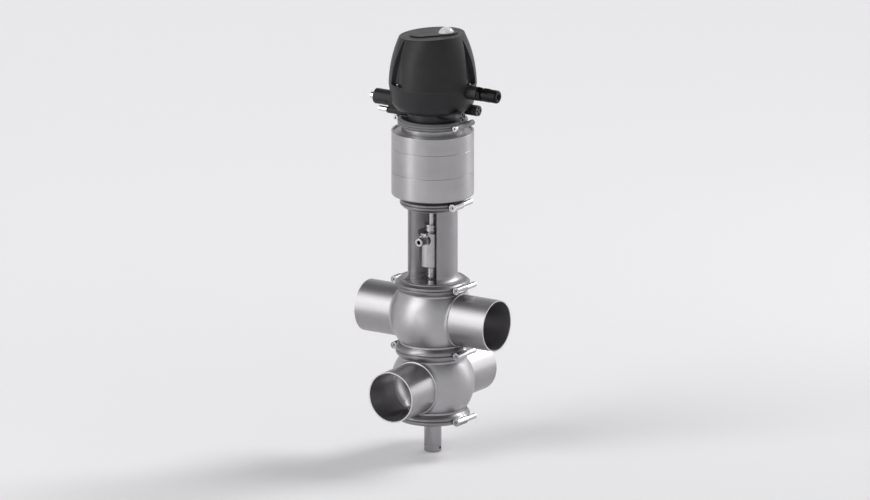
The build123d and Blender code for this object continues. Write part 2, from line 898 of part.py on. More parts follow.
def clamp_half(neck, joint_z, up_flange_h, up_lip, down_flange_h, down_lip, boss_r, hinge, side):
    """One half of a clamp ring; side is FRONT for the half at -Y."""
    lip_r = neck + clamp_clear
    rim_r = neck + rim_step + clamp_clear
    ring_r = neck + rim_step + band_wall
    groove_z = joint_z + (up_lip - down_lip) / 4
    turn([
        (0, joint_z - down_lip),
        (lip_r + lip_wall, joint_z - down_lip),
        (ring_r - band_shoulder_drop, joint_z - band_shoulder * down_lip),
        (ring_r, joint_z - min(band_half, down_lip / 2)),
        (ring_r, groove_z - band_groove_w / 2),
        (ring_r - band_groove_depth, groove_z),
        (ring_r, groove_z + band_groove_w / 2),
        (ring_r, joint_z + min(band_half, up_lip / 2)),
        (ring_r - band_shoulder_drop, joint_z + band_shoulder * up_lip),
        (lip_r + lip_wall, joint_z + up_lip),
        (0, joint_z + up_lip),
    ])
    for x, reach in screw_places(neck, hinge):
        side_bar(x, joint_z, boss_r if side == FRONT else min(boss_r, rear_boss_r), 0, side * reach)
    turn([
        (0, joint_z - down_lip),
        (lip_r, joint_z - down_lip),
        (lip_r, joint_z - down_flange_h - clamp_clear),
        (rim_r, joint_z - rim_edge - clamp_clear),
        (rim_r, joint_z + rim_edge + clamp_clear),
        (lip_r, joint_z + up_flange_h + clamp_clear),
        (lip_r, joint_z + up_lip),
        (0, joint_z + up_lip),
    ], Mode.SUBTRACT)
    head_room_r = screw_head_r + screw_clear
    if boss_r < head_room_r + lip_wall:
        head_room_r = boss_r + screw_clear
    for x, reach in screw_places(neck, hinge):
        if side == FRONT:
            seat_y = -reach + screw_sink + screw_head_h
            side_bar(x, joint_z, screw_r + screw_clear, 0, -reach, Mode.SUBTRACT)
            side_bar(x, joint_z, head_room_r, seat_y, -reach, Mode.SUBTRACT)
        else:
            side_bar(x, joint_z, screw_r + running_clear, 0, reach, Mode.SUBTRACT)
    if side == FRONT:
        split(bisect_by=Plane.XZ.offset(split_gap / 2), keep=Keep.TOP)
    else:
        split(bisect_by=Plane.XZ.offset(-split_gap / 2), keep=Keep.BOTTOM)


for clamp_name, *clamp_sizes in clamps:
    with BuildPart() as clamp_front:
        clamp_half(*clamp_sizes, FRONT)
    save(clamp_front, f"{clamp_name}_front")
    with BuildPart() as clamp_rear:
        clamp_half(*clamp_sizes, REAR)
    save(clamp_rear, f"{clamp_name}_rear")

with BuildPart() as clamp_screws:
    for clamp_name, neck, joint_z, *flange_sizes, hinge in clamps:
        for x, reach in screw_places(neck, hinge):
            head_y = -reach + screw_sink
            side_bar(x, joint_z, screw_head_r, head_y, head_y + screw_head_h)
            side_bar(x, joint_z, screw_r, head_y + screw_head_h, reach - screw_tip)
            with BuildSketch(Plane(origin=(x, head_y, joint_z), z_dir=(0, 1, 0))):
                RegularPolygon(screw_key_r, 6)
            extrude(amount=screw_key_depth, mode=Mode.SUBTRACT)
save(clamp_screws, "clamp_screws")

# Actuator: a cylinder in three welded sections, with the piston and its spring inside

lower_bush_r = thick_rod_r + bush_wall
upper_bush_r = thin_rod_r + bush_wall

with BuildPart() as actuator_base:
    turn([
        (nut_room_r, lantern_joint_z),
        (lantern_neck_r + rim_step, lantern_joint_z),
        (lantern_neck_r + rim_step, lantern_joint_z + rim_edge),
        (lantern_neck_r, lantern_joint_z + cover_flange_h),
        (lantern_neck_r, actuator_bottom_z),
        (actuator_r, actuator_bottom_z),
        (actuator_r, lower_seam_z - seam_chamfer),
        (actuator_r - seam_chamfer, lower_seam_z),
        (cylinder_r, lower_seam_z),
        (cylinder_r, floor_z),
        (lower_bush_r, floor_z),
        (lower_bush_r, bush_seat_z),
        (nut_room_r, bush_seat_z),
    ])
    bottom_edges = actuator_base.edges().filter_by_position(
        Axis.Z, actuator_bottom_z - fit_clear, actuator_bottom_z + fit_clear
    )
    fillet(bottom_edges.sort_by(SortBy.RADIUS)[-1], bottom_round)
save(actuator_base, "actuator_base")

with BuildPart() as actuator_tube:
    turn([
        (cylinder_r, lower_seam_z),
        (actuator_r - seam_chamfer, lower_seam_z),
        (actuator_r, lower_seam_z + seam_chamfer),
        (actuator_r, upper_seam_z - seam_chamfer),
        (actuator_r - seam_chamfer, upper_seam_z),
        (cylinder_r, upper_seam_z),
    ])
save(actuator_tube, "actuator_tube")

with BuildPart() as actuator_cap:
    turn([
        (cylinder_r, upper_seam_z),
        (actuator_r - seam_chamfer, upper_seam_z),
        (actuator_r, upper_seam_z + seam_chamfer),
        (actuator_r, actuator_top_z - seam_chamfer),
        (actuator_r - seam_chamfer, actuator_top_z),
        (actuator_r - top_rim_w, actuator_top_z),
        (actuator_r - top_rim_w, plate_top_z),
        (head_neck_r, plate_top_z),
        (head_neck_r, head_joint_z - cover_flange_h),
        (head_neck_r + rim_step, head_joint_z - rim_edge),
        (head_neck_r + rim_step, head_joint_z),
        (adapter_bore_r, head_joint_z),
        (adapter_bore_r, plate_top_z),
        (upper_bush_r, plate_top_z),
        (upper_bush_r, plate_foot_z),
        (cylinder_r, plate_foot_z),
    ])
save(actuator_cap, "actuator_cap")

with BuildPart() as main_piston:
    piston_r = cylinder_r - piston_clear
    turn([
        (thin_rod_r + running_clear, piston_z),
        (piston_r, piston_z),
        (piston_r, piston_top_z),
        (piston_r - piston_rim_w, piston_top_z),
        (piston_r - piston_rim_w, piston_top_z - piston_dish_h),
        (piston_hub_r, piston_top_z - piston_dish_h),
        (piston_hub_r, piston_top_z),
        (thin_rod_r + running_clear, piston_top_z),
    ])
    piston_seal_zs = (
        piston_z + piston_seal_margin,
        piston_top_z - piston_seal_margin - ring_seal_w,
    )
    for seal_z in piston_seal_zs:
        turn_ring(piston_r - ring_seal_w, piston_r, seal_z, seal_z + ring_seal_w, Mode.SUBTRACT)
save(main_piston, "main_piston")

with BuildPart() as piston_seals:
    for seal_z in piston_seal_zs:
        turn_ring(piston_r - ring_seal_w, cylinder_r - running_clear, seal_z, seal_z + ring_seal_w)
save(piston_seals, "piston_seals")

with BuildPart() as piston_rod:
    turn([
        (0, rod_socket_z),
        (thick_rod_r, rod_socket_z),
        (thick_rod_r, piston_z),
        (thin_rod_r, piston_z),
        (thin_rod_r, rod_top_z),
        (0, rod_top_z),
    ])
save(piston_rod, "piston_rod")

with BuildPart() as piston_nut:
    with BuildSketch(Plane.XY.offset(piston_top_z)):
        RegularPolygon(piston_nut_r, 6)
        Circle(thin_rod_r + running_clear, mode=Mode.SUBTRACT)
    extrude(amount=piston_nut_h)
save(piston_nut, "piston_nut")

with BuildPart() as main_spring:
    coil(
        main_spring_r,
        main_spring_wire,
        main_spring_turns,
        piston_top_z - piston_dish_h,
        plate_foot_z,
    )
save(main_spring, "main_spring")

lower_rod_seal_z = (bush_seat_z + floor_z) / 2
upper_rod_seal_z = (plate_foot_z + plate_top_z - seal_groove_w) / 2

with BuildPart() as rod_bushes:
    turn_ring(thick_rod_r + running_clear, lower_bush_r, bush_seat_z, floor_z)
    turn_ring(
        thick_rod_r,
        thick_rod_r + seal_groove_w,
        lower_rod_seal_z,
        lower_rod_seal_z + seal_groove_w,
        Mode.SUBTRACT,
    )
    turn_ring(thin_rod_r + running_clear, upper_bush_r, plate_foot_z, plate_top_z)
    turn_ring(
        thin_rod_r,
        thin_rod_r + seal_groove_w,
        upper_rod_seal_z,
        upper_rod_seal_z + seal_groove_w,
        Mode.SUBTRACT,
    )
save(rod_bushes, "rod_bushes")

with BuildPart() as rod_seals:
    for rod_radius, seal_z in ((thick_rod_r, lower_rod_seal_z), (thin_rod_r, upper_rod_seal_z)):
        turn_ring(
            rod_radius + running_clear,
            rod_radius + seal_groove_w,
            seal_z,
            seal_z + seal_groove_w,
        )
save(rod_seals, "rod_seals")

# Control head: adapter, bowl-shaped base and fluted hood

with BuildPart() as head_adapter:
    turn([
        (adapter_bore_r, head_joint_z),
        (head_neck_r + rim_step, head_joint_z),
        (head_neck_r + rim_step, head_joint_z + rim_edge),
        (head_neck_r, head_joint_z + cover_flange_h),
        (head_neck_r, head_joint_z + cover_lip),
        (adapter_neck_r, head_joint_z + cover_lip),
        (adapter_neck_r, base_bottom_z),
        (adapter_bore_r, base_bottom_z),
    ])
save(head_adapter, "head_adapter")

screw_post_z = head_seam_z - hood_screw_length


def hood_screw_pins(radius, low_z, high_z, mode=Mode.ADD):
    """An upright round pin at each of the hood's screws."""
    for angle in hood_screw_angles:
        x = hood_screw_at_r * math.cos(math.radians(angle))
        y = hood_screw_at_r * math.sin(math.radians(angle))
        with BuildSketch(Plane(origin=(x, y, low_z))) as section:
            Circle(radius)
        extrude(section.sketch, amount=high_z - low_z, mode=mode)


with BuildPart() as control_base:
    with BuildSketch(Plane.XZ):
        with BuildLine():
            ThreePointArc(
                (base_floor_r, base_bottom_z),
                (base_turn_r, base_turn_z),
                (base_side_r, base_side_z),
            )
            Polyline(
                (base_side_r, base_side_z),
                (head_r, head_seam_z),
                (0, head_seam_z),
                (0, base_bottom_z),
                (base_floor_r, base_bottom_z),
            )
        make_face()
    revolve(axis=Axis.Z)
    bar_x(0, gland_z, gland_boss_r, 0, gland_boss_reach)
    turn_ring(0, head_r + clamp_clear, head_seam_z, gland_z + 2 * gland_boss_r, Mode.SUBTRACT)
    bar_x(vent_y, vent_boss_z, vent_boss_r, -vent_boss_reach, 0)
    bar_x(vent_y, low_boss_z, low_boss_r, -low_boss_reach, 0)
    web_end = Plane(origin=(-low_boss_reach, vent_y, low_boss_z), x_dir=(0, 1, 0), z_dir=(1, 0, 0))
    with BuildSketch(web_end) as web:
        Rectangle(low_web_w, vent_boss_z - low_boss_z, align=(Align.CENTER, Align.MIN))
    extrude(web.sketch, amount=low_boss_reach)
    for y in coupling_ys:
        bar_x(y, coupling_z, coupling_boss_r, 0, coupling_boss_reach)
    turn_ring(0, adapter_neck_r + fit_clear, head_joint_z, base_bottom_z, Mode.SUBTRACT)
    with BuildSketch(Plane.XZ):
        with BuildLine():
            ThreePointArc(
                (base_floor_r, base_floor_z),
                (base_turn_r - base_wall, base_turn_z + base_wall),
                (base_side_r - base_wall, base_side_z),
            )
            Polyline(
                (base_side_r - base_wall, base_side_z),
                (head_r - base_wall, head_seam_z),
                (0, head_seam_z),
                (0, base_floor_z),
                (base_floor_r, base_floor_z),
            )
        make_face()
    revolve(axis=Axis.Z, mode=Mode.SUBTRACT)
    turn_ring(0, base_hole_r, base_bottom_z, base_floor_z, Mode.SUBTRACT)
    for boss_z, reach in ((vent_boss_z, vent_boss_reach), (low_boss_z, low_boss_reach)):
        bar_x(vent_y, boss_z, nipple_thread_r, -reach, nipple_root - reach, Mode.SUBTRACT)
    for y in coupling_ys:
        thread_start = coupling_boss_reach - coupling_thread_length
        bar_x(y, coupling_z, coupling_thread_r, thread_start, coupling_boss_reach, Mode.SUBTRACT)
    hood_screw_pins(screw_post_r, screw_post_z, head_seam_z)
    hood_screw_pins(hood_screw_r + running_clear, screw_post_z, head_seam_z, Mode.SUBTRACT)
    bar_x(0, gland_z, gland_bore_r, base_hole_r, gland_boss_reach, Mode.SUBTRACT)
    bar_x(0, gland_z, gland_thread_r, head_r, gland_boss_reach, Mode.SUBTRACT)
save(control_base, "control_base")

with BuildPart() as hood_gasket:
    turn_ring(head_r - gasket_w, head_r - fit_clear, head_seam_z, gasket_top_z)
save(hood_gasket, "hood_gasket")


tilt = math.radians(crown_tilt)
crown = Plane(
    origin=(0, 0, hood_crown_z),
    x_dir=(math.cos(tilt), 0, math.sin(tilt)),
    z_dir=(-math.sin(tilt), 0, math.cos(tilt)),
)
plateau = crown.offset(plateau_rise)
turned = math.radians(plateau_angle)
dome_x = dome_out * math.cos(turned)
dome_y = dome_out * math.sin(turned)
big_x = plateau_big_out * math.cos(turned)
big_y = plateau_big_out * math.sin(turned)


def bell(inset):
    """The hood's turned shape under its tilted crown, drawn in by a wall thickness."""
    mid_z = gasket_top_z + hood_mid_share * hood_h
    with BuildSketch(Plane.XZ) as outline:
        with BuildLine():
            ThreePointArc(
                (head_r - inset, gasket_top_z),
                (head_r - hood_mid_in - inset, mid_z),
                (head_r - hood_top_in - inset, hood_top_z),
            )
            Polyline(
                (head_r - hood_top_in - inset, hood_top_z),
                (0, hood_top_z),
                (0, gasket_top_z),
                (head_r - inset, gasket_top_z),
            )
        make_face()
    revolve(outline.sketch, axis=Axis.Z)
    split(bisect_by=crown.offset(-inset), keep=Keep.BOTTOM)


def flutes(inset, low_z, mode=Mode.SUBTRACT):
    """Three flutes with sloping floors, cut in from the outside; the one at +X is the deepest."""
    outside = head_r + hood_wall
    for index, top_in in enumerate((flute_right_in, flute_left_in, flute_left_in)):
        outward = Vector(1, 0, 0).rotate(Axis.Z, flute_angle + 120 * index)
        middle = Plane(origin=(0, 0, 0), x_dir=outward, z_dir=outward.cross(Vector(0, 0, 1)))
        with BuildSketch(middle) as wedge:
            with BuildLine():
                Polyline(
                    (head_r - flute_low_in - inset, low_z),
                    (outside, low_z),
                    (outside, hood_top_z),
                    (head_r - top_in - inset, hood_top_z),
                    close=True,
                )
            make_face()
        extrude(wedge.sketch, amount=flute_w / 2 + inset, both=True, mode=mode)


def flute_arches():
    """Pointed arches that the three flutes fill on the hood's outside."""
    rise = hood_crown_z - ledge_z
    tip_z = ledge_z + flute_tip_share * rise
    mid_z = ledge_z + flute_mid_share * rise
    for index in range(3):
        outward = Vector(1, 0, 0).rotate(Axis.Z, flute_angle + 120 * index)
        front = Plane(origin=(0, 0, 0), x_dir=Vector(0, 0, 1).cross(outward), z_dir=outward)
        with BuildSketch(front) as arch:
            with BuildLine():
                ThreePointArc((flute_w / 2, ledge_z), (flute_mid_w / 2, mid_z), (0, tip_z))
                ThreePointArc((0, tip_z), (-flute_mid_w / 2, mid_z), (-flute_w / 2, ledge_z))
                Line((-flute_w / 2, ledge_z), (flute_w / 2, ledge_z))
            make_face()
        extrude(arch.sketch, amount=head_r + hood_wall)


with BuildPart() as hood_cavity:
    bell(hood_wall)
    flutes(hood_wall, gasket_top_z)

with BuildPart() as flute_arch_cuts:
    flute_arches()

with BuildPart() as flute_cuts:
    flutes(0, ledge_z, Mode.ADD)
    add(flute_arch_cuts.part, mode=Mode.INTERSECT)

with BuildPart() as control_hood:
    bell(0)
    fillet(control_hood.faces().sort_by(Axis.Z)[-1].edges(), hood_corner)
    add(flute_cuts.part, mode=Mode.SUBTRACT)
    with BuildSketch(plateau.offset(-plateau_depth)):
        with Locations((big_x, big_y)):
            Circle(plateau_big_r)
        with Locations((dome_x, dome_y)):
            Circle(plateau_small_r)
        make_hull()
    extrude(amount=plateau_depth)
    add(hood_cavity.part, mode=Mode.SUBTRACT)
    hood_screw_pins(hood_screw_r + screw_clear, gasket_top_z, ledge_z, Mode.SUBTRACT)
    with BuildSketch(plateau):
        with Locations((dome_x, dome_y)):
            Circle(dome_spigot_r + fit_clear)
    extrude(amount=-plateau_depth, mode=Mode.SUBTRACT)
save(control_hood, "control_hood")

with BuildPart() as status_dome:
    dome_foot = plateau.from_local_coords((dome_x, dome_y, 0))
    dome_ball_r = (dome_r**2 + dome_h**2) / (2 * dome_h)
    dome_mid = dome_ball_r / math.sqrt(2)
    with BuildSketch(Plane(origin=dome_foot, x_dir=plateau.x_dir, z_dir=-plateau.y_dir)):
        with BuildLine():
            ThreePointArc((dome_r, 0), (dome_mid, dome_h - dome_ball_r + dome_mid), (0, dome_h))
            Polyline(
                (0, dome_h),
                (0, dome_h - dome_wall),
                (dome_spigot_r - dome_wall, 0),
                (dome_spigot_r - dome_wall, -dome_wall),
                (dome_spigot_r, -dome_wall),
                (dome_spigot_r, 0),
                (dome_r, 0),
            )
        make_face()
    revolve(axis=Axis(dome_foot, plateau.z_dir))
save(status_dome, "status_dome")

with BuildPart() as hood_screws:
    hood_screw_pins(hood_screw_r, ledge_z - hood_screw_length, ledge_z)
    hood_screw_pins(hood_screw_head_r, ledge_z, ledge_z + hood_screw_head_h)
save(hood_screws, "hood_screws")

# Cable gland, air nipples and air couplings on the base

with BuildPart() as cable_gland:
    bar_x(0, gland_z, gland_thread_r - running_clear, head_r, gland_boss_reach)
    with BuildSketch(across(0, gland_z).offset(gland_boss_reach)):
        RegularPolygon(gland_hex_r, 6)
    extrude(amount=gland_hex_h)
    bar_x(0, gland_z, gland_neck_r, gland_boss_reach + gland_hex_h, gland_neck_reach)
    bar_x(0, gland_z, gland_bore_r, head_r, gland_neck_reach, Mode.SUBTRACT)
save(cable_gland, "cable_gland")

with BuildPart() as gland_nut:
    with BuildSketch(across(0, gland_z).offset(gland_nut_start)):
        RegularPolygon(gland_hex_r, 6)
    extrude(amount=gland_nut_hex_h)
    bar_x(0, gland_z, gland_nut_r, gland_nut_start, gland_nut_reach)
    fillet(gland_nut.edges().group_by(Axis.X)[-1], gland_nut_round)
    lip_x = gland_nut_reach - gland_nut_lip
    bar_x(0, gland_z, gland_neck_r + running_clear, gland_nut_start, lip_x, Mode.SUBTRACT)
    bar_x(0, gland_z, gland_bore_r, 0, gland_nut_reach, Mode.SUBTRACT)
save(gland_nut, "gland_nut")

with BuildPart() as gland_seal:
    bar_x(0, gland_z, gland_neck_r, gland_neck_reach, gland_nut_reach - gland_nut_lip)
    bar_x(0, gland_z, gland_seal_bore_r, 0, gland_nut_reach, Mode.SUBTRACT)
save(gland_seal, "gland_seal")

nipples = (
    (vent_boss_z, vent_boss_reach, vent_nipple_r, vent_nipple_length),
    (low_boss_z, low_boss_reach, low_nipple_r, low_nipple_length),
)

with BuildPart() as air_nipples:
    for boss_z, reach, nipple_r, nipple_length in nipples:
        bar_x(vent_y, boss_z, nipple_r, -reach - nipple_length, -reach)
        bar_x(vent_y, boss_z, nipple_thread_r - running_clear, -reach, nipple_root - reach)
        bar_x(vent_y, boss_z, nipple_bore_r, -reach - nipple_length, nipple_root - reach, Mode.SUBTRACT)
save(air_nipples, "air_nipples")

with BuildPart() as air_couplings:
    for y in coupling_ys:
        thread_start = coupling_boss_reach - coupling_thread_length
        bar_x(y, coupling_z, coupling_boss_r, coupling_boss_reach, coupling_reach)
        bar_x(y, coupling_z, coupling_thread_r - running_clear, thread_start, coupling_boss_reach)
        with BuildSketch(Plane(origin=(coupling_reach, y, coupling_z), z_dir=(1, 0, 0))):
            with PolarLocations(coupling_bore_at_r, 4):
                Circle(coupling_bore_r)
        extrude(amount=-coupling_bore_depth, mode=Mode.SUBTRACT)
save(air_couplings, "air_couplings")

# Inside the control head: switch bar, sensor, circuit board and pilot valves

with BuildPart() as switch_bar:
    turn_ring(0, switch_bar_r, rod_top_z, switch_bar_top_z)
save(switch_bar, "switch_bar")

with BuildPart() as position_sensor:
    with BuildSketch(Plane.XY.offset(base_floor_z)):
        RectangleRounded(sensor_w, sensor_w, seat_chamfer)
        Circle(sensor_bore_r, mode=Mode.SUBTRACT)
    extrude(amount=sensor_top_z - base_floor_z)
save(position_sensor, "position_sensor")

with BuildPart() as circuit_board:
    with BuildSketch(Plane.XY.offset(sensor_top_z)):
        Circle(board_r)
        Circle(sensor_bore_r, mode=Mode.SUBTRACT)
    extrude(amount=board_h)
    with BuildSketch(Plane.XY.offset(sensor_top_z + board_h)):
        with Locations((dome_x, dome_y)):
            Circle(dome_spigot_r)
    extrude(amount=chip_h)
save(circuit_board, "circuit_board")

with BuildPart() as pilot_valves:
    with BuildSketch(Plane.XY.offset(base_floor_z)):
        with Locations((-pilot_step, pilot_y), (0, pilot_y), (pilot_step, pilot_y)):
            Rectangle(pilot_w, pilot_depth)
    extrude(amount=pilot_h)
save(pilot_valves, "pilot_valves")
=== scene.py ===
"""Looks for the mixproof valve: finishes, softened edges, necks, floor, light and camera."""

import json
import math

import bpy
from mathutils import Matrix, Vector


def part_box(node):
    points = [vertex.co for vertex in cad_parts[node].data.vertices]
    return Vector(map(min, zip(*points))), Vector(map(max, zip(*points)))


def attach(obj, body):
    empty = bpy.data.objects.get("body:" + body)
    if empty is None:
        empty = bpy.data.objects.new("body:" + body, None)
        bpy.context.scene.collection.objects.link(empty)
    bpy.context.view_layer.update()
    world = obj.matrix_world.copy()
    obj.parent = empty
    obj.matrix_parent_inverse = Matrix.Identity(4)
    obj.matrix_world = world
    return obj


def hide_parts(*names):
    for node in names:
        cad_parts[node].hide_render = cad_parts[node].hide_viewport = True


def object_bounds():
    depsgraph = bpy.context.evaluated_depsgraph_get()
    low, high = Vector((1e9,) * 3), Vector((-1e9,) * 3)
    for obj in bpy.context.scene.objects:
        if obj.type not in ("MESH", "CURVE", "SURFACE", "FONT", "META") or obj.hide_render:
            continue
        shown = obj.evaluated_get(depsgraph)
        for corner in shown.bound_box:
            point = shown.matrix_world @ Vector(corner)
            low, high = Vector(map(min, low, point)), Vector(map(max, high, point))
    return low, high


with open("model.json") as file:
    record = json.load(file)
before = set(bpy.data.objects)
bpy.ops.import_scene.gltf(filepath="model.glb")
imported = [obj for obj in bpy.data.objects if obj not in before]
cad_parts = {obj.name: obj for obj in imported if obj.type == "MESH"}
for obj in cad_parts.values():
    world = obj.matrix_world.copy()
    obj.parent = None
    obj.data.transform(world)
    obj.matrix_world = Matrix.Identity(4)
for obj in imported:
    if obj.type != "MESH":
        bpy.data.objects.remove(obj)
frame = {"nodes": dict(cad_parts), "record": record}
cad_low, cad_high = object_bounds()
nodes = frame["nodes"]

ROOT = "root"
MM = 0.001

# The camera looks from this horizontal direction, a little above the valve
VIEW_TURN = math.radians(-56.7)
VIEW_RISE = math.radians(15)
TOWARDS = Vector((math.cos(VIEW_TURN), math.sin(VIEW_TURN), 0))
RIGHT = Vector((-math.sin(VIEW_TURN), math.cos(VIEW_TURN), 0))


# Finishes. A steel's grinding lines are noise stretched along one direction.

EVEN = (1, 1, 1)
ALONG_X = (1, 0.05, 0.05)
ALONG_Y = (0.05, 1, 0.05)
UPRIGHT = (0.05, 0.05, 1)
LONG_UPRIGHT = (0.04, 0.04, 1)

# The middle part of a noise's values, where most of them lie
NOISE_LOW, NOISE_HIGH = 0.3, 0.7
COLOUR_LOW, COLOUR_HIGH = 0.32, 0.68

STEEL_SHADES = (0.94, 1.05)
STEEL_CLOUD_SCALE = 26
LINE_DEPTH = 0.06 * MM
PLASTIC_SHADES = (0.88, 1.12)
PLASTIC_CLOUD_SCALE = 40
PLASTIC_ROUGH_DRIFT = (-0.05, 0.06)
GRAIN_DEPTH = 0.08 * MM
LENS_CLOUD_SCALE = 60
LENS_GLOW_DEPTH = 4 * MM


def new_finish(name):
    """An empty material with its principled shader and node tree."""
    material = bpy.data.materials.new(name)
    material.use_nodes = True
    tree = material.node_tree
    return material, tree.nodes["Principled BSDF"], tree


def object_noise(tree, scale, stretch=EVEN, detail=4.0, roughness=0.55):
    """Noise on object coordinates, stretched by a scale for each axis."""
    place = tree.nodes.new("ShaderNodeTexCoord")
    mapping = tree.nodes.new("ShaderNodeMapping")
    mapping.inputs["Scale"].default_value = stretch
    noise = tree.nodes.new("ShaderNodeTexNoise")
    noise.inputs["Scale"].default_value = scale
    noise.inputs["Detail"].default_value = detail
    noise.inputs["Roughness"].default_value = roughness
    tree.links.new(place.outputs["Object"], mapping.inputs["Vector"])
    tree.links.new(mapping.outputs["Vector"], noise.inputs["Vector"])
    return noise.outputs["Fac"]


def blend_range(tree, source, low, high):
    """A noise value turned into a range of plain numbers."""
    spread = tree.nodes.new("ShaderNodeMapRange")
    spread.inputs["From Min"].default_value = NOISE_LOW
    spread.inputs["From Max"].default_value = NOISE_HIGH
    spread.inputs["To Min"].default_value = low
    spread.inputs["To Max"].default_value = high
    tree.links.new(source, spread.inputs["Value"])
    return spread.outputs["Result"]


def blend_colour(tree, source, first, last, start=0.0, end=1.0, curve="LINEAR"):
    """A value turned into a mix of two colours."""
    mix = tree.nodes.new("ShaderNodeValToRGB")
    mix.color_ramp.interpolation = curve
    for stop, place, colour in zip(mix.color_ramp.elements, (start, end), (first, last)):
        stop.position = place
        stop.color = (*colour, 1)
    tree.links.new(source, mix.inputs["Fac"])
    return mix.outputs["Color"]


def clouded(tree, shader, cloud, dark, light, gloss=None):
    """Link a colour, and a roughness if given, that drift a little with a cloudy noise."""
    colour = blend_colour(tree, cloud, dark, light, COLOUR_LOW, COLOUR_HIGH)
    tree.links.new(colour, shader.inputs["Base Color"])
    if gloss:
        tree.links.new(blend_range(tree, cloud, *gloss), shader.inputs["Roughness"])


def add_bump(tree, shader, source, strength, distance):
    """Surface relief from a noise value."""
    bump = tree.nodes.new("ShaderNodeBump")
    bump.inputs["Strength"].default_value = strength
    bump.inputs["Distance"].default_value = distance
    tree.links.new(source, bump.inputs["Height"])
    tree.links.new(bump.outputs["Normal"], shader.inputs["Normal"])


def shaded(tone, shades):
    """A darker and a lighter shade of one tone."""
    return [tuple(channel * shade for channel in tone) for shade in shades]


def steel(name, tone, gloss, lines=EVEN, line_scale=900, relief=0.12):
    """Stainless steel with fine grinding lines and a slightly uneven polish."""
    material, shader, tree = new_finish(name)
    shader.inputs["Metallic"].default_value = 1.0
    cloud = object_noise(tree, STEEL_CLOUD_SCALE, detail=5.0)
    fine = object_noise(tree, line_scale, lines, detail=3.0, roughness=0.6)
    clouded(tree, shader, cloud, *shaded(tone, STEEL_SHADES), gloss)
    add_bump(tree, shader, fine, relief, LINE_DEPTH)
    return material


def moulded(name, tone, rough, grain_scale=1400, relief=0.25, level=0.45):
    """Moulded plastic with a fine eroded grain."""
    material, shader, tree = new_finish(name)
    shader.inputs["Specular IOR Level"].default_value = level
    cloud = object_noise(tree, PLASTIC_CLOUD_SCALE)
    grain = object_noise(tree, grain_scale, detail=2.0, roughness=0.5)
    gloss = [rough + drift for drift in PLASTIC_ROUGH_DRIFT]
    clouded(tree, shader, cloud, *shaded(tone, PLASTIC_SHADES), gloss)
    add_bump(tree, shader, grain, relief, GRAIN_DEPTH)
    return material


def milky(name, dark, light):
    """Glossy white plastic that lets a little light in."""
    material, shader, tree = new_finish(name)
    cloud = object_noise(tree, LENS_CLOUD_SCALE, detail=2.0)
    clouded(tree, shader, cloud, dark, light)
    shader.inputs["Roughness"].default_value = 0.22
    shader.inputs["Subsurface Weight"].default_value = 0.15
    shader.inputs["Subsurface Radius"].default_value = (LENS_GLOW_DEPTH,) * 3
    shader.inputs["Subsurface Scale"].default_value = 1.0
    return material


STEEL_TONE = (0.365, 0.358, 0.368)
LANTERN_TONE = (0.315, 0.308, 0.318)
bright = steel("bright_nickel", (0.7, 0.69, 0.67), (0.08, 0.14))

slot_finish = {
    "satin_steel": steel("satin_steel_z", (0.325, 0.318, 0.328), (0.33, 0.39), UPRIGHT),
    "turned_steel": steel(
        "turned_steel", (0.42, 0.412, 0.422), (0.25, 0.29), UPRIGHT, 500, 0.015
    ),
    "cast_steel": steel("cast_steel", (0.255, 0.25, 0.258), (0.3, 0.4), EVEN, 700, 0.2),
    "brushed_cylinder": steel(
        "brushed_cylinder", (0.4, 0.393, 0.402), (0.33, 0.39), LONG_UPRIGHT, 1000
    ),
    "turned_aluminium": steel("turned_aluminium", (0.5, 0.5, 0.51), (0.3, 0.38)),
    "spring_steel": steel("spring_steel", (0.3, 0.3, 0.3), (0.3, 0.4)),
    "bright_nickel": bright,
    "black_rubber": moulded("black_rubber", (0.02, 0.02, 0.02), 0.6),
    "bearing_plastic": moulded("bearing_plastic", (0.07, 0.07, 0.07), 0.5),
    "black_plastic": moulded("black_plastic", (0.018, 0.018, 0.02), 0.42),
    "pale_plastic": moulded("pale_plastic", (0.17, 0.168, 0.175), 0.5, 900, 0.3),
    "charcoal_plastic": moulded(
        "charcoal_plastic", (0.015, 0.0142, 0.0156), 0.42, 1100, 0.35, 0.3
    ),
    "grey_plastic": moulded(
        "grey_plastic", (0.003, 0.0029, 0.0032), 0.33, 1400, 0.25, 0.15
    ),
    "coupling_plastic": moulded("coupling_plastic", (0.03, 0.032, 0.035), 0.35),
    "board_green": moulded("board_green", (0.03, 0.16, 0.06), 0.3),
    "white_lens": milky("white_lens", (0.66, 0.655, 0.68), (0.7, 0.695, 0.72)),
}

# These nodes are brushed along their own axis, or differ a little from their slot
own_finish = {
    # The drain pipe is painted a darker tone than the turned steel, as painted shade under the
    # valve by the floor
    "drain_pipe": steel("drain_steel_painted_shade", (0.33, 0.324, 0.333), (0.15, 0.2), UPRIGHT, 1200, 0.05),
    "upper_housing": steel("satin_steel_x", STEEL_TONE, (0.36, 0.42), ALONG_X),
    "lower_housing": steel("satin_steel_y", STEEL_TONE, (0.3, 0.36), ALONG_Y),
    "hood_screws": bright,
    "lantern": steel("lantern_steel", LANTERN_TONE, (0.42, 0.48), UPRIGHT),
}

# These are for one part of a node's faces
# The balls' steel is painted lighter than the tubes' as painted light; its rougher polish is the
# balls' own
ball_painted_light = steel("ball_steel_painted_light", (0.42, 0.412, 0.423), (0.4, 0.46))
boss = steel("bright_boss_steel", (0.5, 0.49, 0.505), (0.22, 0.3))
cut_end = steel("cut_end_steel", (0.58, 0.57, 0.585), (0.45, 0.55), EVEN, 700, 0.2)
# The tubes' inner walls are painted a lighter steel, as painted light inside the tubes
inner_painted_light = steel("inner_tube_steel_painted_light", (0.51, 0.5, 0.515), (0.34, 0.42))
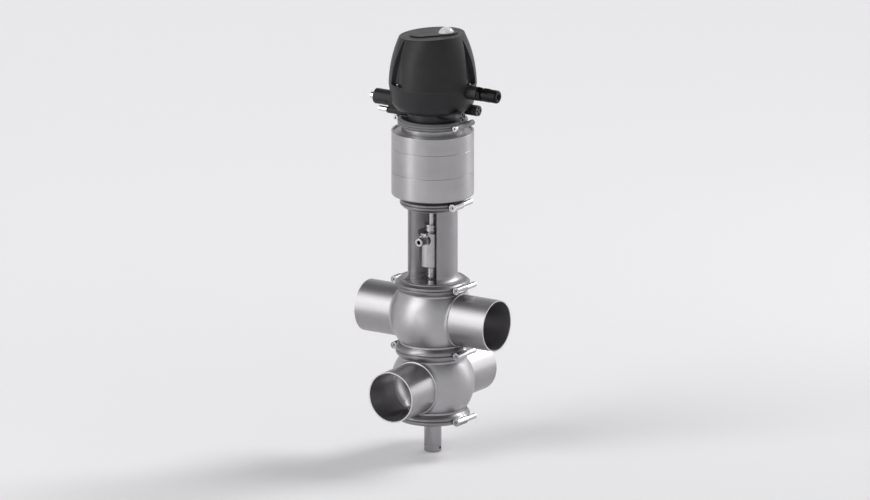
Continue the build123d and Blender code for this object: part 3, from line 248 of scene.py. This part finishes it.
# The flutes' plastic is painted lighter than the bell's, as painted light in the recesses
flute_painted_light = moulded("flute_painted_light", (0.05, 0.0475, 0.0525), 0.5, 1500, 0.05, 0.3)

slot_of = {part["node"]: part["material_slot"] for part in frame["record"]["subparts"]}
body_of = {
    node_name: body
    for body, members in frame["record"]["behaviour"]["bodies"].items()
    for node_name in members
}


def put_finish(thing, material):
    """Give a mesh one material."""
    thing.data.materials.clear()
    thing.data.materials.append(material)


for node_name, node in nodes.items():
    put_finish(node, own_finish.get(node_name, slot_finish[slot_of[node_name]]))


# Softened copies of the nodes that are seen

SMOOTH_ANGLE = math.radians(34)
MERGE_REACH = 0.01 * MM
FLAT_ANGLE = math.radians(0.5)


def select_only(piece):
    """Make one object the active one and the only one selected."""
    bpy.ops.object.select_all(action="DESELECT")
    bpy.context.view_layer.objects.active = piece
    piece.select_set(True)


def copied(source, name):
    """A copy of an object with its own mesh, in the scene and selected."""
    piece = source.copy()
    piece.data = source.data.copy()
    piece.name = name
    bpy.context.scene.collection.objects.link(piece)
    select_only(piece)
    return piece


def softened(node_name, edge):
    """A merged copy of a CAD node with smooth curves and small rounded edges."""
    piece = copied(nodes[node_name], node_name + "_shown")
    for key in list(piece.keys()):
        del piece[key]
    piece.parent = None
    bpy.ops.object.mode_set(mode="EDIT")
    bpy.ops.mesh.select_all(action="SELECT")
    bpy.ops.mesh.remove_doubles(threshold=MERGE_REACH)
    bpy.ops.mesh.customdata_custom_splitnormals_clear()
    bpy.ops.mesh.dissolve_limited(angle_limit=FLAT_ANGLE)
    bpy.ops.object.mode_set(mode="OBJECT")
    if edge:
        bevel = piece.modifiers.new("rounded_edges", "BEVEL")
        bevel.width = edge * MM
        bevel.segments = 2
        bevel.limit_method = "ANGLE"
        bevel.angle_limit = SMOOTH_ANGLE
        bevel.use_clamp_overlap = True
        bevel.harden_normals = False
        bpy.ops.object.modifier_apply(modifier=bevel.name)
    bpy.ops.object.shade_smooth_by_angle(angle=SMOOTH_ANGLE)
    even = piece.modifiers.new("even_shading", "WEIGHTED_NORMAL")
    even.keep_sharp = True
    bpy.ops.object.modifier_apply(modifier=even.name)
    piece.select_set(False)
    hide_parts(node_name)
    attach(piece, body_of[node_name])
    return piece


# Each node that is seen, with the width of its rounded edges in millimetres
edge_sizes = {
    "upper_housing": 0.25,
    "lower_housing": 0.25,
    "seat_ring": 0,
    "upper_disc": 0.3,
    "upper_stem": 0.2,
    "lower_disc": 0.3,
    "inner_rod": 0.2,
    "drain_pipe": 0.3,
    "bottom_disc": 0.3,
    "bearing_disc": 0.3,
    "lantern": 0.5,
    "flush_sleeve": 0.4,
    "sleeve_cap": 0.4,
    "flush_connector": 0.4,
    "lock_nut": 0.4,
    "stem_seal": 0.2,
    "stem_bearing": 0.2,
    "piston_rod": 0.3,
    "actuator_base": 0.3,
    "actuator_tube": 0.2,
    "actuator_cap": 0.5,
    "head_adapter": 0.5,
    "control_base": 0.8,
    "hood_gasket": 0,
    "control_hood": 1.0,
    "status_dome": 0.3,
    "hood_screws": 0.3,
    "cable_gland": 0.5,
    "gland_nut": 0.5,
    "gland_seal": 0.3,
    "air_nipples": 0.5,
    "air_couplings": 0.5,
    "clamp_screws": 0.3,
}
CLAMP_EDGE = 0.4
STEEL_CLAMPS = ("bottom", "middle", "top", "lantern")
CLAMP_HALVES = ("front", "rear")
for place in (*STEEL_CLAMPS, "head"):
    for half in CLAMP_HALVES:
        edge_sizes[f"{place}_clamp_{half}"] = CLAMP_EDGE
shown = {node_name: softened(node_name, edge) for node_name, edge in edge_sizes.items()}


# Finishes for one part of a node's faces

def refinish(piece, material, is_part):
    """Give another material to the faces of a piece that a test picks."""
    piece.data.materials.append(material)
    index = len(piece.data.materials) - 1
    for face in piece.data.polygons:
        if is_part(face):
            face.material_index = index


def middle_height(node_name):
    """The height halfway up a node, where a housing has its tubes."""
    low_corner, high_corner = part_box(node_name)
    return (low_corner.z + high_corner.z) / 2


# The sawn ends and the inner walls of the tubes, and the outside of the balls; the inner walls and
# the balls are painted a lighter steel, as painted light.
# Places are measured from the valve's axis at the height of the tubes.
PORT_END = cad_high.y - 0.2 * MM
PORT_START = 62 * MM
INNER_R = 41.5 * MM
BALL_TOP = 50 * MM
BALL_SKIN = 67.5 * MM
BALL_SIDE = 57 * MM


def refinish_housing(node_name, axis, tube_z):
    """Give a housing the finishes of its parts, with its tubes along one axis."""

    def from_middle(face):
        """How far a face is along the tubes, across them and above them."""
        return abs(face.center[axis]), face.center[1 - axis], face.center.z - tube_z

    def is_cut_end(face):
        return from_middle(face)[0] > PORT_END

    def is_inner(face):
        along, across, rise = from_middle(face)
        return PORT_START < along < PORT_END and math.hypot(across, rise) < INNER_R

    def is_ball(face):
        along, across, rise = from_middle(face)
        is_between = along < BALL_SIDE and abs(rise) < BALL_TOP
        return is_between and math.hypot(along, across, rise) > BALL_SKIN

    refinish(shown[node_name], cut_end, is_cut_end)
    refinish(shown[node_name], inner_painted_light, is_inner)
    refinish(shown[node_name], ball_painted_light, is_ball)


UPPER_Z, LOWER_Z = middle_height("upper_housing"), middle_height("lower_housing")
refinish_housing("upper_housing", 0, UPPER_Z)
refinish_housing("lower_housing", 1, LOWER_Z)

# The bosses round the clamp screws are brighter than the bands
BOSS_R = 6.2 * MM
BOSS_REACH = 6.6 * MM


def refinish_boss(node_name, screw_x):
    """Give the faces near the screws of one half of a clamp the brighter finish."""
    screw_z = middle_height(node_name)

    def is_boss(face):
        across = abs(face.center.x) - screw_x
        return math.hypot(across, face.center.z - screw_z) < BOSS_REACH

    refinish(shown[node_name], boss, is_boss)


for place in STEEL_CLAMPS:
    clamp_screw_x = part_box(f"{place}_clamp_front")[1].x - BOSS_R
    for half in CLAMP_HALVES:
        refinish_boss(f"{place}_clamp_{half}", clamp_screw_x)

# The floors and walls of the hood's flutes are painted lighter than its bell, as painted light in
# these recesses, and are rougher with a finer, fainter grain
BAND = 5 * MM
FLUTE_DEPTH = 1.5 * MM
FLUTE_TOP = 692 * MM
# A side face's normal rises less than the first, a flute's wall looks outward less than the second
SIDE_RISE = 0.5
WALL_OUTWARD = 0.8
# The bell's outer radius in each band of its height
bell_r = {}
for vertex in shown["control_hood"].data.vertices:
    band = round(vertex.co.z / BAND)
    bell_r[band] = max(bell_r.get(band, 0), math.hypot(vertex.co.x, vertex.co.y))


def is_flute(face):
    """Whether a face is sunk into the bell, or is on the side wall of a flute."""
    at, facing = face.center, face.normal
    reach = math.hypot(at.x, at.y)
    depth = bell_r.get(round(at.z / BAND), 0) - reach
    outward = (facing.x * at.x + facing.y * at.y) / max(reach, MM)
    is_side = at.z < FLUTE_TOP and abs(facing.z) < SIDE_RISE
    return is_side and (depth > FLUTE_DEPTH or outward < WALL_OUTWARD)


refinish(shown["control_hood"], flute_painted_light, is_flute)


# Flared necks with a small step, where the tubes leave the balls

TUBE_R = 42.5 * MM
NECK_SIDES = 128
NECK_WALL = 1.2 * MM
NECK_SMOOTH_ANGLE = math.radians(40)
LOOP_REACH = 0.1 * MM
# Distance from the valve's axis and radius of each loop, in millimetres
NECK_LOOPS = (
    (49.6, 47.6),
    (50.8, 46.4),
    (52.3, 45.4),
    (54.2, 44.7),
    (56.0, 44.3),
    (56.6, 42.8),
    (58.0, 42.53),
)


def select_loop(piece, loop_x):
    """Select the vertices of a mesh at one place along X, and nothing else."""
    bpy.ops.object.mode_set(mode="EDIT")
    bpy.ops.mesh.select_all(action="DESELECT")
    bpy.ops.object.mode_set(mode="OBJECT")
    for vertex in piece.data.vertices:
        vertex.select = abs((piece.matrix_world @ vertex.co).x - loop_x) < LOOP_REACH
    bpy.ops.object.mode_set(mode="EDIT")


def neck_model():
    """One neck around the X axis: a short tube, cut into loops that are then flared."""
    bpy.ops.object.select_all(action="DESELECT")
    start, end = NECK_LOOPS[0][0] * MM, NECK_LOOPS[-1][0] * MM
    bpy.ops.mesh.primitive_cylinder_add(
        vertices=NECK_SIDES,
        radius=TUBE_R,
        depth=end - start,
        end_fill_type="NOTHING",
        location=((start + end) / 2, 0, 0),
        rotation=(0, math.radians(90), 0),
    )
    neck = bpy.context.object
    bpy.ops.object.mode_set(mode="EDIT")
    for loop_x, _ in NECK_LOOPS[1:-1]:
        bpy.ops.mesh.select_all(action="SELECT")
        bpy.ops.mesh.bisect(plane_co=(loop_x * MM, 0, 0), plane_no=(1, 0, 0))
    for loop_x, loop_r in NECK_LOOPS:
        select_loop(neck, loop_x * MM)
        grow = loop_r * MM / TUBE_R
        bpy.ops.transform.resize(value=(1, grow, grow), center_override=(loop_x * MM, 0, 0))
    bpy.ops.object.mode_set(mode="OBJECT")
    wall = neck.modifiers.new("wall", "SOLIDIFY")
    wall.thickness = NECK_WALL
    wall.offset = -1
    bpy.ops.object.modifier_apply(modifier=wall.name)
    bpy.ops.object.mode_set(mode="EDIT")
    bpy.ops.mesh.select_all(action="SELECT")
    bpy.ops.mesh.normals_make_consistent(inside=False)
    bpy.ops.object.mode_set(mode="OBJECT")
    bpy.ops.object.shade_smooth_by_angle(angle=NECK_SMOOTH_ANGLE)
    bpy.ops.object.transform_apply(location=True, rotation=True, scale=True)
    # The necks take the balls' finish, with its painted light
    put_finish(neck, ball_painted_light)
    return neck


first_neck = neck_model()
for name, height, turn in (
    ("upper_neck_plus", UPPER_Z, 0),
    ("lower_neck_plus", LOWER_Z, 90),
    ("upper_neck_minus", UPPER_Z, 180),
    ("lower_neck_minus", LOWER_Z, 270),
):
    neck = copied(first_neck, name)
    neck.location = (0, 0, height)
    neck.rotation_euler = (0, 0, math.radians(turn))
    bpy.ops.object.transform_apply(location=True, rotation=True, scale=True)
    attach(neck, ROOT)
bpy.data.objects.remove(first_neck)


# Floor, light and camera

# The floor's colour holds painted shade: it grows slightly darker towards the viewer
FLOOR_FAR = (0.855, 0.843, 0.86)
FLOOR_NEAR_PAINTED_SHADE = (0.785, 0.775, 0.79)
FADE_START = -1.6
FADE_END = 0.45
FLOOR_CLOUD_SCALE = 2
FLOOR_CLOUD_SHARE = 0.06
FLOOR_R = 9
FLOOR_SIDES = 96
FLOOR_DROP = 0.5 * MM


def floor_painted_shade():
    """The floor's material: painted shade that fades it darker by depth towards the viewer, with a
    faint cloud in it.
    """
    material, shader, tree = new_finish("floor_painted_shade")
    place = tree.nodes.new("ShaderNodeTexCoord")
    depth = tree.nodes.new("ShaderNodeVectorMath")
    depth.operation = "DOT_PRODUCT"
    depth.inputs[1].default_value = TOWARDS
    tree.links.new(place.outputs["Object"], depth.inputs[0])
    fade = tree.nodes.new("ShaderNodeMapRange")
    fade.inputs["From Min"].default_value = FADE_START
    fade.inputs["From Max"].default_value = FADE_END
    tree.links.new(depth.outputs["Value"], fade.inputs["Value"])
    mix = tree.nodes.new("ShaderNodeMath")
    mix.operation = "MULTIPLY_ADD"
    mix.inputs[1].default_value = FLOOR_CLOUD_SHARE
    tree.links.new(object_noise(tree, FLOOR_CLOUD_SCALE, detail=2.0), mix.inputs[0])
    tree.links.new(fade.outputs["Result"], mix.inputs[2])
    # Painted shade: the colour goes from the far tone to the darker near tone towards the viewer
    colour = blend_colour(tree, mix.outputs["Value"], FLOOR_FAR, FLOOR_NEAR_PAINTED_SHADE, curve="EASE")
    tree.links.new(colour, shader.inputs["Base Color"])
    shader.inputs["Roughness"].default_value = 0.6
    shader.inputs["Specular IOR Level"].default_value = 0.2
    return material


bpy.ops.object.select_all(action="DESELECT")
bpy.ops.mesh.primitive_circle_add(
    vertices=FLOOR_SIDES, radius=FLOOR_R, fill_type="NGON", location=(0, 0, -FLOOR_DROP)
)
floor = bpy.context.object
floor.name = "studio_floor"
put_finish(floor, floor_painted_shade())

# The room is bright near the floor and dim overhead, like a white studio
SKY_RIM = 0.25
SKY_LOW = (0.78, 0.78, 0.785)
SKY_HIGH = (0.05, 0.05, 0.051)
world = bpy.data.worlds.new("studio")
bpy.context.scene.world = world
world.use_nodes = True
sky_tree = world.node_tree
sky_place = sky_tree.nodes.new("ShaderNodeTexCoord")
sky_split = sky_tree.nodes.new("ShaderNodeSeparateXYZ")
sky_tree.links.new(sky_place.outputs["Generated"], sky_split.inputs["Vector"])
sky_colour = blend_colour(
    sky_tree, sky_split.outputs["Z"], SKY_LOW, SKY_HIGH, start=SKY_RIM, curve="EASE"
)
sky_tree.links.new(sky_colour, sky_tree.nodes["Background"].inputs["Color"])


def place_lamp(name, data, right, forward, height, aim_z):
    """Put a lamp by the camera's right and forward directions and aim it at the valve."""
    lamp = bpy.data.objects.new(name, data)
    bpy.context.scene.collection.objects.link(lamp)
    lamp.location = RIGHT * right + TOWARDS * forward + Vector((0, 0, height))
    aim = Vector((0, 0, aim_z)) - lamp.location
    lamp.rotation_euler = aim.to_track_quat("-Z", "Y").to_euler()


def soft_sun(name, right, forward, height, strength, spread):
    """An even light from a wide patch of sky in one direction."""
    data = bpy.data.lights.new(name, "SUN")
    data.energy = strength
    data.angle = math.radians(spread)
    place_lamp(name, data, right, forward, height, 0)


def soft_box(name, right, forward, height, size, power, aim_z, spread=180):
    """A rectangular lamp, with its light kept narrow where a smaller spread is given."""
    data = bpy.data.lights.new(name, "AREA")
    data.shape = "RECTANGLE"
    data.size, data.size_y = size
    data.energy = power
    data.spread = math.radians(spread)
    place_lamp(name, data, right, forward, height, aim_z)


# The low lamp is narrow and lights the lower tube that points at the viewer
soft_sun("right_back_sun", 1.9, -1.2, 1.9, strength=1.85, spread=24)
soft_sun("left_front_sun", -1.75, 1.05, 1.85, strength=1.0, spread=35)
soft_box("left_strip", -1.95, 0.95, 0.75, size=(0.5, 1.4), power=8.5, aim_z=0.35)
soft_box("low_front", -1.25, 2.1, 0.3, size=(0.5, 0.4), power=0.07, aim_z=0.1, spread=20)
soft_box("right_strip", 2.0, -0.95, 0.72, size=(0.5, 1.3), power=5.5, aim_z=0.3)

VIEW_WIDTH = 1.418
VIEW_DISTANCE = 4
VIEW_END = 20
TARGET_RIGHT = 3.67 * MM
TARGET_Z = 337.5 * MM
camera_data = bpy.data.cameras.new("photo_camera")
camera_data.type = "ORTHO"
camera_data.ortho_scale = VIEW_WIDTH
camera_data.clip_end = VIEW_END
camera = bpy.data.objects.new("photo_camera", camera_data)
bpy.context.scene.collection.objects.link(camera)
back = TOWARDS * math.cos(VIEW_RISE) + Vector((0, 0, math.sin(VIEW_RISE)))
target = RIGHT * TARGET_RIGHT + Vector((0, 0, TARGET_Z))
camera.location = target + back * VIEW_DISTANCE
camera.rotation_euler = (-back).to_track_quat("-Z", "Y").to_euler()
bpy.context.scene.camera = camera
bpy.context.scene.view_settings.view_transform = "Standard"
